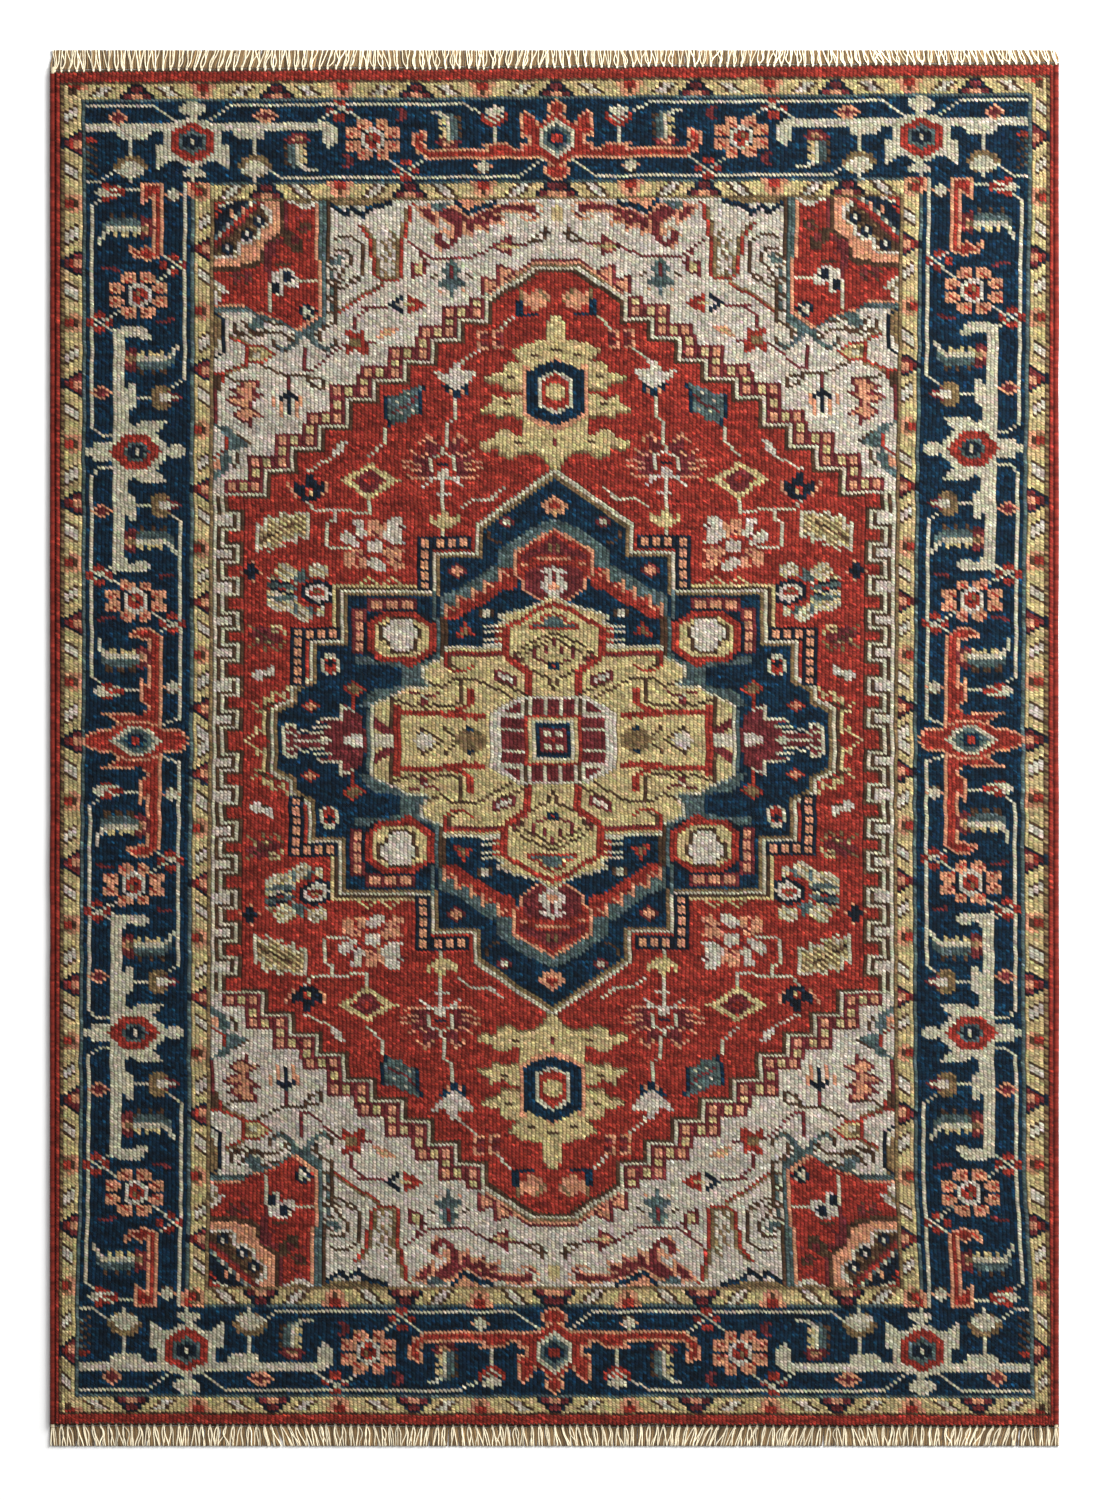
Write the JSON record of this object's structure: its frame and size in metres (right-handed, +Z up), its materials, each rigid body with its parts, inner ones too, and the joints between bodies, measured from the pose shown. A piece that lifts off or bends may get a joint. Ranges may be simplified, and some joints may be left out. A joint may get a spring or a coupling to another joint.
{
  "type": "area rug",
  "caption": "Rectangular hand-knotted wool rug with a stepped medallion, banded borders, overcast side cords and short cotton fringes.",
  "frame": {"origin": "centre of the underside, on the floor", "axes": "+X across the width, +Y along the length towards the north fringe, +Z up through the pile"},
  "size_m": [1.52, 2.102, 0.011],
  "materials": {
    "cotton_weave": "matt undyed cotton weave",
    "cotton_fringe": "matt undyed cotton, plied strands",
    "wool_overcast": "wound red wool yarn",
    "wool_gold": "clipped gold-beige wool pile",
    "wool_navy": "clipped navy wool pile with colour bands",
    "wool_ivory": "clipped ivory wool pile",
    "wool_maroon": "clipped maroon and navy wool pile",
    "wool_red": "clipped madder-red wool pile with colour bands"
  },
  "bodies": {
    "root": {"foundation_weave": "cotton_weave", "end_band_north": "cotton_weave", "end_band_south": "cotton_weave", "fringe_ties_north": "cotton_fringe", "fringe_ties_south": "cotton_fringe", "fringe_strands_north": "cotton_fringe", "fringe_strands_south": "cotton_fringe", "selvedge_cord_east": "cotton_weave", "selvedge_cord_west": "cotton_weave", "overcast_wrap_east": "wool_overcast", "overcast_wrap_west": "wool_overcast", "edge_pile_north": "wool_red", "edge_pile_south": "wool_red", "edge_pile_east": "wool_red", "edge_pile_west": "wool_red", "outer_guard_north": "wool_gold", "outer_guard_south": "wool_gold", "outer_guard_east": "wool_gold", "outer_guard_west": "wool_gold", "main_border_north": "wool_navy", "main_border_south": "wool_navy", "main_border_east": "wool_navy", "main_border_west": "wool_navy", "inner_guard_north": "wool_gold", "inner_guard_south": "wool_gold", "inner_guard_east": "wool_gold", "inner_guard_west": "wool_gold", "corner_piece_ne": "wool_red", "corner_piece_nw": "wool_red", "corner_piece_se": "wool_red", "corner_piece_sw": "wool_red", "end_ground_north": "wool_ivory", "end_ground_south": "wool_ivory", "side_band_east": "wool_ivory", "side_band_west": "wool_ivory", "red_field": "wool_red", "pendant_north": "wool_gold", "pendant_south": "wool_gold", "medallion": "wool_navy", "medallion_heart": "wool_gold", "centre_panel": "wool_maroon"}
  },
  "joints": []
}
